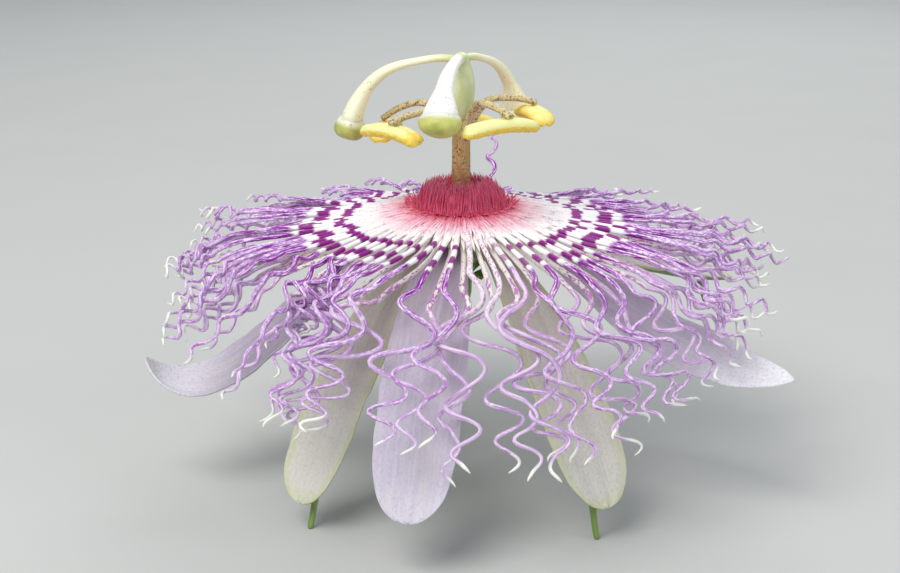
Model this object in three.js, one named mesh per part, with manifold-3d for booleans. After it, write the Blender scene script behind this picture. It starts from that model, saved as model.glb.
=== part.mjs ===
// A passion flower (maypop, Passiflora incarnata), picked with a short stub of stem and set down on a
// flat surface, where it stands on the awns of three drooping sepals. Millimetres and degrees, +Z up.
// An azimuth of 0 points along -Y, and 90 along +X. Heights in the functions below are above the hub,
// the floor of the corona. The finished flower has the middle of its box at x = y = 0, its awns on z = 0.
import * as THREE from "three";
import { mergeVertices } from "three/addons/utils/BufferGeometryUtils.js";
import Module from "manifold-3d";

// ---- Driving dimensions ----
const SEAT_GAP = 0.3; // between a piece and what carries it
const HUB_HEIGHT = 32.3; // of the corona's floor above the surface

const CUP_RADIUS = 5.4; // floral cup at its rim
const CUP_TOP = -1.6; // height of the cup's flat top
const CUP_DEPTH = 5.6;
const STEM_RADIUS = 1.1;
const STEM_LENGTH = 17;
const BRACT_LENGTH = 6;
const BRACT_WIDTH = 2.6;
const BRACT_COUNT = 3;

const BLADE_THICKNESS = 0.65; // petals and sepals
const PETAL_ROOT_HEIGHT = -2.6;
const SEPAL_ROOT_HEIGHT = -3.9;
const AWN_LENGTH = 4.2; // the green horn behind each sepal's tip
const AWN_RADIUS = 0.45;
const AWN_PLACE = 0.9; // share of the sepal's length where the horn stands

const UPPER_ROW = { count: 56, rootHeight: -0.75, slope: 8.5, stream: 1, reach: 30.4, radius: 0.47 };
const LOWER_ROW = { count: 36, rootHeight: -1.3, slope: 14, stream: 2, reach: 28.6, radius: 0.44 };
const FRONT_REACH = 3.4; // how much farther the filaments in front reach
const ROOT_RADIUS = 6.2; // where the long filaments leave the corona's ring

const PINK_COUNT = 42; // short pink filaments round the crimson fringe
const FRINGE_COUNT = 44; // crimson filaments of the fringe that closes the cup
const FRINGE_HEIGHT = 3.0;
const FRINGE_RADIUS = 4.9;

const COLUMN_RADIUS = 1.05; // androgynophore
const COLUMN_HEIGHT = 9.7;
const OVARY_RADIUS = 1.5;
const OVARY_LENGTH = 6.3;
const ANTHER_WIDTH = 2.6;
const ANTHER_DEPTH = 1.5;

// Each petal and sepal: its azimuth and length, its downward slope at even steps from root to tip, its
// greatest width, how far its margins rise above its middle as a share of its half width, and how far its
// tip is rolled about its length. The sepals named here as standing carry the flower.
const PETALS = [
  { azimuth: -10, length: 36.2, slopes: [12, 38, 52, 57], width: 8.8, cup: 0.08, roll: 0 },
  { azimuth: 66, length: 37, slopes: [20, 34, 30, 14, -4], width: 8.6, cup: 0.12, roll: 24 },
  { azimuth: 138, length: 33, slopes: [16, 14, 10], width: 9, cup: 0.15, roll: -6 },
  { azimuth: -152, length: 33, slopes: [16, 16, 12], width: 9, cup: 0.15, roll: 5 },
  { azimuth: -79, length: 38.8, slopes: [28, 40, 44, 40, 6, -72], width: 8.2, cup: 0.3, roll: -14 },
];
const SEPALS = [
  { azimuth: -42, length: 32.6, slopes: [34, 50, 56, 58], width: 7.8, cup: 0.2, roll: -6 },
  { azimuth: 34.5, length: 32.8, slopes: [30, 48, 54, 57], width: 8.4, cup: 0.14, roll: 6 },
  { azimuth: 104, length: 29, slopes: [22, 14, 8], width: 8.2, cup: 0.2, roll: 0 },
  { azimuth: -172, length: 32.6, slopes: [32, 49, 55, 57], width: 8.2, cup: 0.18, roll: 0 },
  { azimuth: -115, length: 29, slopes: [22, 14, 8], width: 8.2, cup: 0.2, roll: 0 },
];
const STANDING = [0, 1, 3];
// The end of each stamen's arm (azimuth, distance and height), and its anther's length, how far it is
// turned from square to the arm and how far it is slid along itself.
const STAMENS = [
  { azimuth: -46, reach: 10.4, height: 10.9, length: 8.8, turn: 0, slide: -0.5 },
  { azimuth: 32, reach: 9.6, height: 11.8, length: 9.6, turn: 0, slide: -0.9 },
  { azimuth: 104, reach: 8.5, height: 11.6, length: 8, turn: 4, slide: -0.9 },
  { azimuth: 176, reach: 9.4, height: 9.4, length: 9.4, turn: -8, slide: 1.1 },
  { azimuth: -112, reach: 9.4, height: 9.5, length: 9.2, turn: 14, slide: 0.4 },
];
// Azimuth of each style, its reach from the axis, the height of its stigma's middle and how early it
// bends down.
const STYLES = [
  { azimuth: -97, reach: 12.75, head: 8.8, bend: 0 },
  { azimuth: -12.5, reach: 10.8, head: 11.3, bend: 0.08 },
  { azimuth: 140, reach: 10.5, head: 9, bend: 0.07 },
];
const STIGMA = { width: 2.3, depth: 1.55, height: 1.5 }; // half sizes

const COLOURS = {
  stem: 0x6f8f3c,
  sepal: 0xc9cdb0,
  petal: 0xd9d2dc,
  corona: 0xb68fd0,
  pink: 0xf0a5bd,
  crimson: 0xa8325c,
  column: 0xb79a5c,
  ovary: 0xc3c873,
  style: 0xeeeccb,
  stamen: 0xc5ad7c,
  anther: 0xf0cf3f,
};

// ---- Solids ----
const wasm = await Module();
wasm.setup();
const MERGE_DISTANCE = 1e-4;
const SLIVER = 0.01; // edges that a union leaves shorter than this are taken out

const radians = THREE.MathUtils.degToRad;
const lerp = THREE.MathUtils.lerp;

/** A ramp from 0 to 1 between two values, flat at both ends. */
const ramp = (value, from, to) => THREE.MathUtils.smoothstep(value, from, to);

/** A repeatable scatter from -1 to 1 for the given piece and stream. */
function scatter(index, stream) {
  const spread = Math.sin(index * 12.9898 + stream * 78.233) * 43758.5453;
  return 2 * (spread - Math.floor(spread)) - 1;
}

/** The value at a share of a list of values that stand at even steps. */
function alongList(values, share) {
  const place = Math.min(Math.max(share, 0), 1) * (values.length - 1);
  const before = Math.min(Math.floor(place), values.length - 2);
  return lerp(values[before], values[before + 1], place - before);
}

/** A flat vector of a length along an azimuth. */
function outwards(azimuth, length) {
  const angle = radians(azimuth);
  return new THREE.Vector3(length * Math.sin(angle), -length * Math.cos(angle), 0);
}

/** The point at a distance from the axis, an azimuth and a height above the hub. */
const polar = (distance, azimuth, height) => outwards(azimuth, distance).setZ(HUB_HEIGHT + height);

/** The geometry as a manifold-3d solid, with faces that have collapsed to a line left out. */
function solidOf(geometry) {
  const bare = geometry.clone();
  bare.deleteAttribute("normal");
  bare.deleteAttribute("uv");
  const merged = mergeVertices(bare, MERGE_DISTANCE);
  const corners = [];
  for (let i = 0; i < merged.index.count; i += 3) {
    const [a, b, c] = [0, 1, 2].map((corner) => merged.index.getX(i + corner));
    if (a !== b && b !== c && a !== c) corners.push(a, b, c);
  }
  const mesh = new wasm.Mesh({
    numProp: 3,
    vertProperties: new Float32Array(merged.attributes.position.array),
    triVerts: new Uint32Array(corners),
  });
  mesh.merge();
  return new wasm.Manifold(mesh);
}

/** A solid as three.js geometry. */
function geometryOf(solid) {
  const mesh = solid.getMesh();
  const geometry = new THREE.BufferGeometry();
  geometry.setAttribute("position", new THREE.BufferAttribute(mesh.vertProperties, 3));
  geometry.setIndex(new THREE.BufferAttribute(mesh.triVerts, 1));
  geometry.computeVertexNormals();
  return geometry;
}

/** Several overlapping geometries joined into one solid. */
function join(geometries) {
  let joined = solidOf(geometries[0]);
  for (const geometry of geometries.slice(1)) joined = joined.add(solidOf(geometry));
  return joined.simplify(SLIVER);
}

/** Moves every vertex of a geometry to the point that a function of its old place gives. */
function warp(geometry, place) {
  const position = geometry.attributes.position;
  for (let i = 0; i < position.count; i += 1) {
    const moved = place(position.getX(i), position.getY(i), position.getZ(i));
    position.setXYZ(i, moved.x, moved.y, moved.z);
  }
  geometry.deleteAttribute("normal");
  geometry.deleteAttribute("uv");
  geometry.computeVertexNormals();
  return geometry;
}

/** For each point of a path, two directions square to it that don't twist along it. */
function framesAlong(points) {
  let side = null;
  return points.map((point, i) => {
    const before = points[Math.max(i - 1, 0)];
    const after = points[Math.min(i + 1, points.length - 1)];
    const ahead = after.clone().sub(before).normalize();
    if (side === null) side = new THREE.Vector3(0, 0, 1).cross(ahead);
    if (side.length() < 0.01) side.set(1, 0, 0);
    side = side.clone().addScaledVector(ahead, -side.dot(ahead)).normalize();
    return { side, top: ahead.clone().cross(side) };
  });
}

/** A closed tube through the points. Each ring has its own half width and half height. */
function tube(points, rings, sides) {
  const frames = framesAlong(points);
  const last = points.length - 1;
  return warp(new THREE.CylinderGeometry(1, 1, 1, sides, last), (x, y, z) => {
    const k = Math.round((0.5 - y) * last);
    return points[k]
      .clone()
      .addScaledVector(frames[k].side, x * rings[k][0])
      .addScaledVector(frames[k].top, z * rings[k][1]);
  });
}

/** A solid turned from a profile of distances and heights that starts and ends on the axis. */
function turned(profile, sides) {
  const lathe = new THREE.LatheGeometry(profile.map(([r, h]) => new THREE.Vector2(r, h)), sides);
  return warp(lathe, (x, y, z) => new THREE.Vector3(x, -z, HUB_HEIGHT + y));
}

/** A ring turned from the outline of its section. */
const turnedRing = (section, sides) => turned([...section, section[0]], sides);

// ---- Stem, bracts and floral cup ----
const CUP_FLOOR = CUP_TOP - CUP_DEPTH;
const CUP_SIDES = 20;
const STEM_SIDES = 8;

function floralCup() {
  const profile = [
    [0, CUP_FLOOR],
    [STEM_RADIUS + 0.35, CUP_FLOOR],
    [STEM_RADIUS + 0.9, CUP_FLOOR + 0.9],
    [CUP_RADIUS * 0.72, CUP_FLOOR + 2.0],
    [CUP_RADIUS * 0.94, CUP_FLOOR + 3.6],
    [CUP_RADIUS, CUP_TOP - 0.7],
    [CUP_RADIUS - 0.25, CUP_TOP],
    [0, CUP_TOP],
  ];
  return turned(profile, CUP_SIDES);
}

function stem() {
  const top = HUB_HEIGHT + CUP_FLOOR - SEAT_GAP;
  const shares = [0, 0.25, 0.5, 0.75, 1];
  const points = shares.map((s) => new THREE.Vector3(-3.2 * s * s, 1.4 * s * s, top - STEM_LENGTH * s));
  const rings = shares.map((s) => [STEM_RADIUS * (1.15 - 0.25 * s), STEM_RADIUS * (1.15 - 0.25 * s)]);
  return tube(points, rings, STEM_SIDES);
}

/** A small spoon-shaped leaf that stands off the stem just under the cup. */
function bract(azimuth) {
  const rootHeight = CUP_FLOOR - 1.6;
  const rootDistance = STEM_RADIUS * 1.15 + SEAT_GAP;
  return warp(new THREE.BoxGeometry(1, 1, 1, 2, 5, 1), (x, y, z) => {
    const s = y + 0.5;
    const halfWidth = (BRACT_WIDTH / 2) * (0.35 + 0.65 * Math.sin(Math.PI * Math.min(1, s * 0.9 + 0.05)));
    const distance = rootDistance + BRACT_LENGTH * s * (0.82 - 0.12 * s);
    const height = rootHeight + BRACT_LENGTH * (0.5 * s - 0.3 * s * s) + Math.abs(x) + 0.6 * z;
    return polar(distance, azimuth, height).add(outwards(azimuth - 90, 2 * x * halfWidth));
  });
}

// ---- Petals and sepals ----
const BLADE_ROWS = 11;
const BLADE_COLUMNS = 4;
const CENTRELINE_STEPS = 60;
const TIP_ROUNDING = 0.06; // share of the length that the margins stop short at the tip

/** Distance and height at even steps along a blade's middle, summed up from its slope. */
function bladeCentre(spec, rootHeight) {
  const step = spec.length / CENTRELINE_STEPS;
  const line = [{ distance: CUP_RADIUS + SEAT_GAP, height: rootHeight }];
  for (let i = 1; i <= CENTRELINE_STEPS; i += 1) {
    const slope = radians(alongList(spec.slopes, (i - 0.5) / CENTRELINE_STEPS));
    const { distance, height } = line[i - 1];
    line.push({ distance: distance + step * Math.cos(slope), height: height - step * Math.sin(slope) });
  }
  return line;
}

/** Half width of a blade at a share of its length: narrow at the root, and with a blunt rounded tip. */
function bladeHalfWidth(spec, share, blunt) {
  const swelling = 0.42 + 0.58 * Math.sin((Math.PI / 2) * Math.min(1, share / 0.58)) ** 1.3;
  const tip = Math.max(0, (share - 0.72) / 0.28);
  return (spec.width / 2) * swelling * Math.sqrt(1 - (1 - blunt * blunt) * tip ** 2.2);
}

/** A thin leaf-like blade that follows its centre line out and down from the rim of the cup. */
function blade(spec, rootHeight, blunt) {
  const line = bladeCentre(spec, rootHeight);
  const box = new THREE.BoxGeometry(1, 1, 1, BLADE_COLUMNS, BLADE_ROWS, 1);
  return warp(box, (x, y, z) => {
    const across = -2 * x;
    const row = 1 - (0.5 - y) ** 1.15; // rows stand closer together near the tip
    const s = row * (1 - TIP_ROUNDING * across * across * ramp(row, 0.6, 1));
    const at = line[Math.round(s * CENTRELINE_STEPS)];
    const slope = radians(alongList(spec.slopes, s));
    const roll = radians(spec.roll * s);
    const halfWidth = bladeHalfWidth(spec, row, blunt);
    const side = across * halfWidth * Math.cos(roll);
    const off = halfWidth * (spec.cup * across * across + across * Math.sin(roll)) + z * BLADE_THICKNESS;
    const [distance, height] = [at.distance + off * Math.sin(slope), at.height + off * Math.cos(slope)];
    return polar(distance, spec.azimuth, height).add(outwards(spec.azimuth + 90, side));
  });
}

const petal = (spec) => geometryOf(join([blade(spec, PETAL_ROOT_HEIGHT, 0.6)]));

/** A sepal with the green horn that hangs from its back near the tip, down to the surface if it stands. */
function sepal(spec, stands) {
  const root = bladeCentre(spec, SEPAL_ROOT_HEIGHT)[Math.round(AWN_PLACE * CENTRELINE_STEPS)];
  const drop = stands ? HUB_HEIGHT + root.height + 0.3 : AWN_LENGTH;
  const points = [0, 0.35, 0.7, 1].map((t) =>
    polar(root.distance - 0.5 + 0.9 * t * t, spec.azimuth, root.height - drop * t),
  );
  const rings = [1.3, 1.05, 0.9, 0.75].map((share) => [share * AWN_RADIUS, share * AWN_RADIUS]);
  const whole = join([blade(spec, SEPAL_ROOT_HEIGHT, 0.48), tube(points, rings, 6)]);
  return geometryOf(whole.trimByPlane([0, 0, 1], 0));
}

// ---- Corona ----
const RING_SIDES = 30;
const FILAMENT_SIDES = 3;
const REST_HEIGHT = 1.15; // of a filament's middle above the middle of a blade that it lies on

const BLADES = [
  ...PETALS.map((spec) => ({ spec, line: bladeCentre(spec, PETAL_ROOT_HEIGHT), blunt: 0.6 })),
  ...SEPALS.map((spec) => ({ spec, line: bladeCentre(spec, SEPAL_ROOT_HEIGHT), blunt: 0.48 })),
];

/** Lifts a point of a filament that would dip into a petal or sepal until it lies on it. */
function liftOffBlades(point) {
  for (const { spec, line, blunt } of BLADES) {
    const distance = point.dot(outwards(spec.azimuth, 1));
    const side = point.dot(outwards(spec.azimuth + 90, 1));
    const next = line.findIndex((at) => at.distance > distance);
    const share = next < 0 ? 1 : next / CENTRELINE_STEPS;
    const at = line[next < 0 ? CENTRELINE_STEPS : next];
    const halfWidth = bladeHalfWidth(spec, share, blunt);
    const slope = radians(alongList(spec.slopes, share));
    const within = THREE.MathUtils.clamp(side, -halfWidth, halfWidth);
    const rise = (spec.cup * within * within) / halfWidth + within * Math.sin(radians(spec.roll * share));
    const over = 1 - ramp(Math.abs(side), halfWidth + 0.5, halfWidth + 2.5);
    const before = 1 - ramp(distance, at.distance + 0.6, at.distance + 2.6);
    const lift = HUB_HEIGHT + at.height + (rise + REST_HEIGHT) / Math.cos(slope) - point.z;
    if (distance > 0) point.z += Math.max(0, lift) * over * before;
  }
  return point;
}

/** A bell from 1 at the middle azimuth to nearly 0 at twice the spread. */
const near = (azimuth, middle, spread) => Math.exp(-(((azimuth - middle) / spread) ** 2));

/** How far from the axis the long filaments stay straight: furthest on the left, least in front. */
function levelReach(azimuth, stream) {
  const knot = 6.5 * near(azimuth, -38, 13);
  if (stream === 1) {
    return 26.5 + 1.5 * near(azimuth, -90, 45) - 8.5 * near(azimuth, 10, 24) - knot;
  }
  return 25 - 6.5 * near(azimuth, 4, 34) - 0.6 * knot;
}

/** How steeply the long filaments hang past their straight stretch: most in front, least behind. */
function droopAt(azimuth, stream) {
  const held = stream === 1 ? 42 * near(azimuth, 168, 3) : 0;
  const lifted = 15 * near(azimuth, -58, 14);
  return 13 + 40 * ramp(Math.cos(radians(azimuth + 8)), -0.3, 0.85) - lifted - held;
}

/** A point of a long filament's path, at a share of its reach. */
function filamentPoint(row, index, share) {
  const random = (stream) => scatter(index + 1, row.stream * 10 + stream);
  const turn = 360 / row.count;
  const even = turn * (index + 0.5 * (row.stream - 1) + 0.13 * random(1)) - 180;
  const azimuth = even + 7 * Math.sin(radians(2 * (even - 10)));
  const front = Math.cos(radians(azimuth + 4));
  const ahead = ramp(front, 0.3, 0.92) * (1 - 0.75 * near(azimuth, -54, 15));
  const tangle = near(azimuth, -40, 14);
  const longer = FRONT_REACH * ramp(front, 0, 0.9) + 2.5 * near(azimuth, 14, 18);
  const knotted = 8.5 * near(azimuth, -42, 11) * ramp(random(15), -0.35, 0);
  const reach = row.reach + 1.6 * random(2) + longer - 2.6 * near(azimuth, -95, 40) - knotted;
  const straight = (levelReach(azimuth, row.stream) + 1.2 * random(3) - ROOT_RADIUS) / reach;
  const droop = droopAt(azimuth, row.stream) + 6 * random(4);

  // The middle line first runs straight out and then bends down.
  const steps = 24;
  const slopeAt = (place) =>
    radians(lerp(row.slope, droop, ramp(place, straight * 0.82, straight + 0.3 * (1 - straight))));
  let distance = ROOT_RADIUS;
  let height = row.rootHeight;
  for (let i = 0; i < steps; i += 1) {
    const slope = slopeAt((share * (i + 0.5)) / steps);
    distance += ((reach * share) / steps) * Math.cos(slope);
    height -= ((reach * share) / steps) * Math.sin(slope);
  }

  // The crimps are widest where they begin and come closer together towards the tip. They swing sideways
  // and up, and slide back along the filament at twice the pace, which makes them meander.
  const crimpedFrom = straight + (0.5 + ahead) / reach;
  const loose = Math.max(0, (share - crimpedFrom) / (1 - crimpedFrom));
  const shared = 2.2 * Math.sin(radians(2 * azimuth + 40)) + 1.3 * Math.sin(radians(5 * azimuth));
  const turns = (1 - 0.2 * ahead) * loose + (1.3 + 0.2 * ahead) * loose * loose;
  const wave = shared + 1.4 * random(5) + 2 * Math.PI * turns * (1 + 0.15 * random(10));
  const behind = 0.6 + 0.4 * ramp(front, -0.8, 0);
  const widest = (0.85 + 2.4 * ahead - 1.3 * tangle) * (1 + 0.3 * random(6)) * behind;
  const size = widest * ramp(loose, 0, 0.2) * (1 - (0.2 + 0.5 * ahead) * loose);
  const swing = size * (Math.sin(wave) + 0.18 * Math.sin(1.7 * wave + 3 * random(9)));
  const rises = (0.7 - 0.4 * ahead) * Math.cos(wave + 0.8 * random(7)) + 0.25 * random(7);
  const slide = -0.11 * size * Math.sin(2 * wave);
  const slope = slopeAt(share);
  distance += size * rises * Math.sin(slope) + slide * Math.cos(slope);
  height += size * rises * Math.cos(slope) - slide * Math.sin(slope);
  height += 0.9 * (1 - ahead) * Math.sin(radians(8.5 * azimuth)) * ramp(share, 0.3, 0.8);

  // Neighbours gather in bunches, turn about high and low, and those left of the front sweep to the left.
  const gathered = -0.75 * (azimuth + 42) * near(azimuth, -26, 17);
  const gather = radians(17 * azimuth + 25) + 0.8 * Math.sin(radians(3 * azimuth));
  const bunch = -3 * (1 - 0.6 * ahead) * Math.sin(gather) + 0.5 * random(8);
  const turned = azimuth + bunch * ramp(share, 0.22, 0.6) + gathered * ramp(share, 0.12, 0.75);
  return liftOffBlades(polar(distance, turned, height).add(outwards(azimuth + 90, swing)));
}

// Shares of the reach where a long filament has a ring of vertices. The first lies inside the corona's ring.
const FILAMENT_SHARES = [
  0.055, 0.3, 0.42, 0.49, 0.55, 0.61, 0.665, 0.715, 0.765, 0.81, 0.855, 0.895, 0.935, 1,
];

function longFilament(row, index) {
  const points = FILAMENT_SHARES.map((share) => filamentPoint(row, index, share));
  const rings = FILAMENT_SHARES.map((share) => {
    const radius = row.radius * (1 - 0.2 * ramp(share, 0.1, 0.5) - 0.45 * ramp(share, 0.88, 1));
    return [radius, radius * 0.86];
  });
  return tube(points, rings, FILAMENT_SIDES);
}

/** The ring on the cup's rim with both rows of long crimped filaments. */
function corona() {
  const section = [
    [5.1, -1.3],
    [CUP_RADIUS + 0.6, -1.35],
    [8.8, -2.35],
    [8.9, -1.25],
    [7.2, -0.55],
    [5.1, -0.3],
  ];
  const filaments = [UPPER_ROW, LOWER_ROW].flatMap((row) =>
    Array.from({ length: row.count }, (_, index) => longFilament(row, index)),
  );
  return geometryOf(join([turnedRing(section, RING_SIDES), ...filaments]));
}

/** A straight pointed filament. */
const spike = (root, tip, radius) => tube([root, tip], [[radius, radius], [0, 0]], FILAMENT_SIDES);

/** Short pink filaments that fan out round the fringe, on a low ring of their own. */
function pinkRow() {
  const ring = turnedRing([[5.15, 0], [6.4, -0.15], [6.3, 0.3], [5.3, 0.45]], RING_SIDES);
  const spikes = Array.from({ length: PINK_COUNT }, (_, i) => {
    const azimuth = (360 / PINK_COUNT) * (i + 0.25 * scatter(i + 1, 31));
    const distance = 7.2 + 0.5 * scatter(i + 1, 32);
    const height = 2.1 + 0.5 * scatter(i + 1, 33);
    return spike(polar(5.75, azimuth, 0.15), polar(distance, azimuth, height), 0.38);
  });
  return geometryOf(join([ring, ...spikes]));
}

/** The crimson fringe that leans in round the column and closes the cup: a cone with filaments on it. */
function fringe() {
  const inner = COLUMN_RADIUS + 0.55;
  const section = [
    [inner, CUP_TOP + SEAT_GAP],
    [FRINGE_RADIUS - 0.1, CUP_TOP + SEAT_GAP],
    [FRINGE_RADIUS - 0.35, 0.2],
    [FRINGE_RADIUS - 1.1, FRINGE_HEIGHT - 1.0],
    [inner + 0.5, FRINGE_HEIGHT - 0.8],
  ];
  const spikes = Array.from({ length: FRINGE_COUNT }, (_, i) => {
    const azimuth = (360 / FRINGE_COUNT) * (i + 0.2 * scatter(i + 1, 41));
    const inside = i % 2 === 1;
    const root = polar(FRINGE_RADIUS - (inside ? 1.0 : 0.5), azimuth, -0.35);
    const tip = polar(inside ? 2.9 : 3.6, azimuth, FRINGE_HEIGHT + 0.35 * scatter(i + 1, 43));
    return spike(root, tip, 0.4);
  });
  return geometryOf(join([turnedRing(section, RING_SIDES), ...spikes]));
}

// ---- Column, ovary, styles and stamens ----
const COLUMN_SIDES = 12;
const CROWN_HEIGHT = COLUMN_HEIGHT + SEAT_GAP + OVARY_LENGTH + SEAT_GAP; // where the styles spring

function column() {
  const profile = [
    [0, CUP_TOP + SEAT_GAP],
    [COLUMN_RADIUS + 0.25, CUP_TOP + SEAT_GAP],
    [COLUMN_RADIUS + 0.1, 1.5],
    [COLUMN_RADIUS, 5],
    [COLUMN_RADIUS, COLUMN_HEIGHT - 1.2],
    [COLUMN_RADIUS + 0.22, COLUMN_HEIGHT - 0.3],
    [COLUMN_RADIUS + 0.1, COLUMN_HEIGHT],
    [0, COLUMN_HEIGHT],
  ];
  return turned(profile, COLUMN_SIDES);
}

/** The ovary, a long egg with three faint lobes. */
function ovary() {
  const middle = HUB_HEIGHT + COLUMN_HEIGHT + SEAT_GAP + OVARY_LENGTH / 2;
  return warp(new THREE.SphereGeometry(1, 12, 10), (x, y, z) => {
    const lobed = OVARY_RADIUS * (1 + 0.05 * Math.cos(3 * Math.atan2(x, z)));
    return new THREE.Vector3(x * lobed, -z * lobed, middle + (y * OVARY_LENGTH) / 2);
  });
}

// Share of a style's reach and share of its drop, from its spring at the crown to the middle of its stigma.
const STYLE_PATH = [
  [0.075, 0.06],
  [0.2, 0.04],
  [0.4, 0.09],
  [0.58, 0.165],
  [0.72, 0.28],
  [0.84, 0.46],
  [0.92, 0.66],
  [0.97, 0.84],
  [1, 1],
];

/** A style that arches out over the crown, thickens, and ends in a broad rounded stigma. */
function style({ azimuth, reach, head, bend }) {
  const place = ([out, down]) => {
    const distance = reach * out * (1 - bend * Math.sin(Math.PI * out));
    return polar(distance, azimuth, lerp(CROWN_HEIGHT + 0.35, head, down));
  };
  const neck = STYLE_PATH.map(place);
  const middle = neck[neck.length - 1];
  const foot = middle.clone().setZ(middle.z - STIGMA.height);
  const curve = new THREE.CatmullRomCurve3([...neck, foot], false, "centripetal");
  const shares = [0, 0.12, 0.24, 0.36, 0.46, 0.55, 0.63, 0.7, 0.76, 0.81, 0.86, 0.91, 0.96, 1];
  const rings = shares.map((s) => {
    const neckSize = lerp(0.5, 1.05, ramp(s, 0.3, 0.78));
    const swell = ramp(s, 0.72, 0.87) * Math.sqrt(1 - (0.9 * Math.max(0, (s - 0.87) / 0.13)) ** 2);
    return [lerp(neckSize, STIGMA.width, swell), lerp(neckSize * 0.85, STIGMA.depth, swell)];
  });
  rings[shares.length - 1] = [STIGMA.width * 0.45, STIGMA.depth * 0.45];
  return tube(shares.map((s) => curve.getPoint(s)), rings, 8);
}

/** A flat speckled arm that arches from the top of the column to the back of the anther. */
function stamenArm({ azimuth, reach, height }) {
  const start = COLUMN_RADIUS + 0.22 + SEAT_GAP;
  const arch = [
    [0, COLUMN_HEIGHT - 0.9],
    [0.14, COLUMN_HEIGHT + 0.1],
    [0.45, Math.max(height, COLUMN_HEIGHT + 1.2) + 0.7],
    [0.75, Math.max(height, COLUMN_HEIGHT + 0.6) + 0.6],
    [1, height],
  ];
  const controls = arch.map(([out, up]) => polar(lerp(start, reach, out), azimuth, up));
  const curve = new THREE.CatmullRomCurve3(controls, false, "centripetal");
  const shares = [0, 1, 2, 3, 4, 5, 6, 7, 8].map((i) => i / 8);
  const rings = shares.map((s) => [lerp(0.6, 0.4, s), lerp(0.42, 0.28, s)]);
  return tube(shares.map((s) => curve.getPoint(s)), rings, 6);
}

/** An oblong two-lobed anther, hung by its middle and lying across its arm. */
function anther({ azimuth, reach, height, length, turn, slide }) {
  const along = outwards(azimuth + 90 + turn, 1);
  const across = outwards(azimuth + turn, 1);
  const drop = 0.28 + SEAT_GAP + ANTHER_DEPTH / 2 - 0.05;
  const middle = polar(reach - 0.2, azimuth, height - drop).addScaledVector(along, slide);
  const steps = 8;
  return warp(new THREE.CylinderGeometry(1, 1, 1, 10, steps), (x, y, z) => {
    const t = 2 * y;
    const fullness = 1 - 0.5 * Math.abs(t) ** 5;
    const groove = 1 - 0.3 * Math.exp(-((x / 0.3) ** 2));
    return middle
      .clone()
      .addScaledVector(along, (t * length) / 2)
      .addScaledVector(across, (x * ANTHER_WIDTH * fullness) / 2)
      .setZ(middle.z - 0.55 * t * t + (z * groove * ANTHER_DEPTH * fullness) / 2);
  });
}

// ---- Assembly ----
const flower = new THREE.Group();

function addPiece(name, geometry, colour, roughness) {
  const material = new THREE.MeshStandardMaterial({ color: COLOURS[colour], roughness, metalness: 0 });
  const mesh = new THREE.Mesh(geometry, material);
  mesh.name = name;
  flower.add(mesh);
}

addPiece("stem", stem(), "stem", 0.6);
addPiece("floral_cup", floralCup(), "stem", 0.6);
for (let i = 0; i < BRACT_COUNT; i += 1) {
  addPiece(`bract_${i + 1}`, bract(25 + (360 / BRACT_COUNT) * i), "stem", 0.6);
}
SEPALS.forEach((spec, i) => addPiece(`sepal_${i + 1}`, sepal(spec, STANDING.includes(i)), "sepal", 0.6));
PETALS.forEach((spec, i) => addPiece(`petal_${i + 1}`, petal(spec), "petal", 0.55));
addPiece("corona", corona(), "corona", 0.55);
addPiece("pink_row", pinkRow(), "pink", 0.55);
addPiece("crimson_fringe", fringe(), "crimson", 0.55);
addPiece("column", column(), "column", 0.5);
addPiece("ovary", ovary(), "ovary", 0.4);
STYLES.forEach((spec, i) => addPiece(`style_${i + 1}`, style(spec), "style", 0.45));
STAMENS.forEach((spec, i) => addPiece(`stamen_${i + 1}`, stamenArm(spec), "stamen", 0.5));
STAMENS.forEach((spec, i) => addPiece(`anther_${i + 1}`, anther(spec), "anther", 0.6));

// The flower stands on its lowest awns, with the middle of its box over the origin.
const box = new THREE.Box3().setFromObject(flower);
flower.position.set(-(box.min.x + box.max.x) / 2, -(box.min.y + box.max.y) / 2, -box.min.z);

export default flower;
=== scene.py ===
"""A passion flower standing on the awns of its sepals, dressed over its CAD frame.

Shapes are worked out in millimetres from the hub, the floor of the corona: x to the right, y away from the
front petal and z up. An azimuth is in degrees, 0 towards the front (-y) and 90 to the right (+x).
"""

import math

import bpy
import numpy as np
from mathutils import Matrix, Vector


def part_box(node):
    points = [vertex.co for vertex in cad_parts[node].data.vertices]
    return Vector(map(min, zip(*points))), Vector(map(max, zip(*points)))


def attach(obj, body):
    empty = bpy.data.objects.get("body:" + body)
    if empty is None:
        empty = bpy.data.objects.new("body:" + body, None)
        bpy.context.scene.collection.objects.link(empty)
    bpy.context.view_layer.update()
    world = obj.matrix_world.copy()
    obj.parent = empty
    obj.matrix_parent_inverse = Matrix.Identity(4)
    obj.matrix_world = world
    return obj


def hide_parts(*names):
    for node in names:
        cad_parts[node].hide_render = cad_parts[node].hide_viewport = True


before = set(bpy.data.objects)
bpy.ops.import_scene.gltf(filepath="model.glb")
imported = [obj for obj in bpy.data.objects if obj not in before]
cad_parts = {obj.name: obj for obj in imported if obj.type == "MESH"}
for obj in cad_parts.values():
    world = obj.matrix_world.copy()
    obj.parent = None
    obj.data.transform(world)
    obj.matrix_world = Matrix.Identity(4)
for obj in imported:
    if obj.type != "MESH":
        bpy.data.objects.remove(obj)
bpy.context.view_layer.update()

# -------------------- the flower's axis in the frame
COLUMN_FOOT = -1.3  # height of the column's lower end
_low, _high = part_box("column")
HUB = np.array([(_low[0] + _high[0]) / 2, (_low[1] + _high[1]) / 2, 0.0]) * 1000
HUB[2] = _low[2] * 1000 - COLUMN_FOOT

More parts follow.
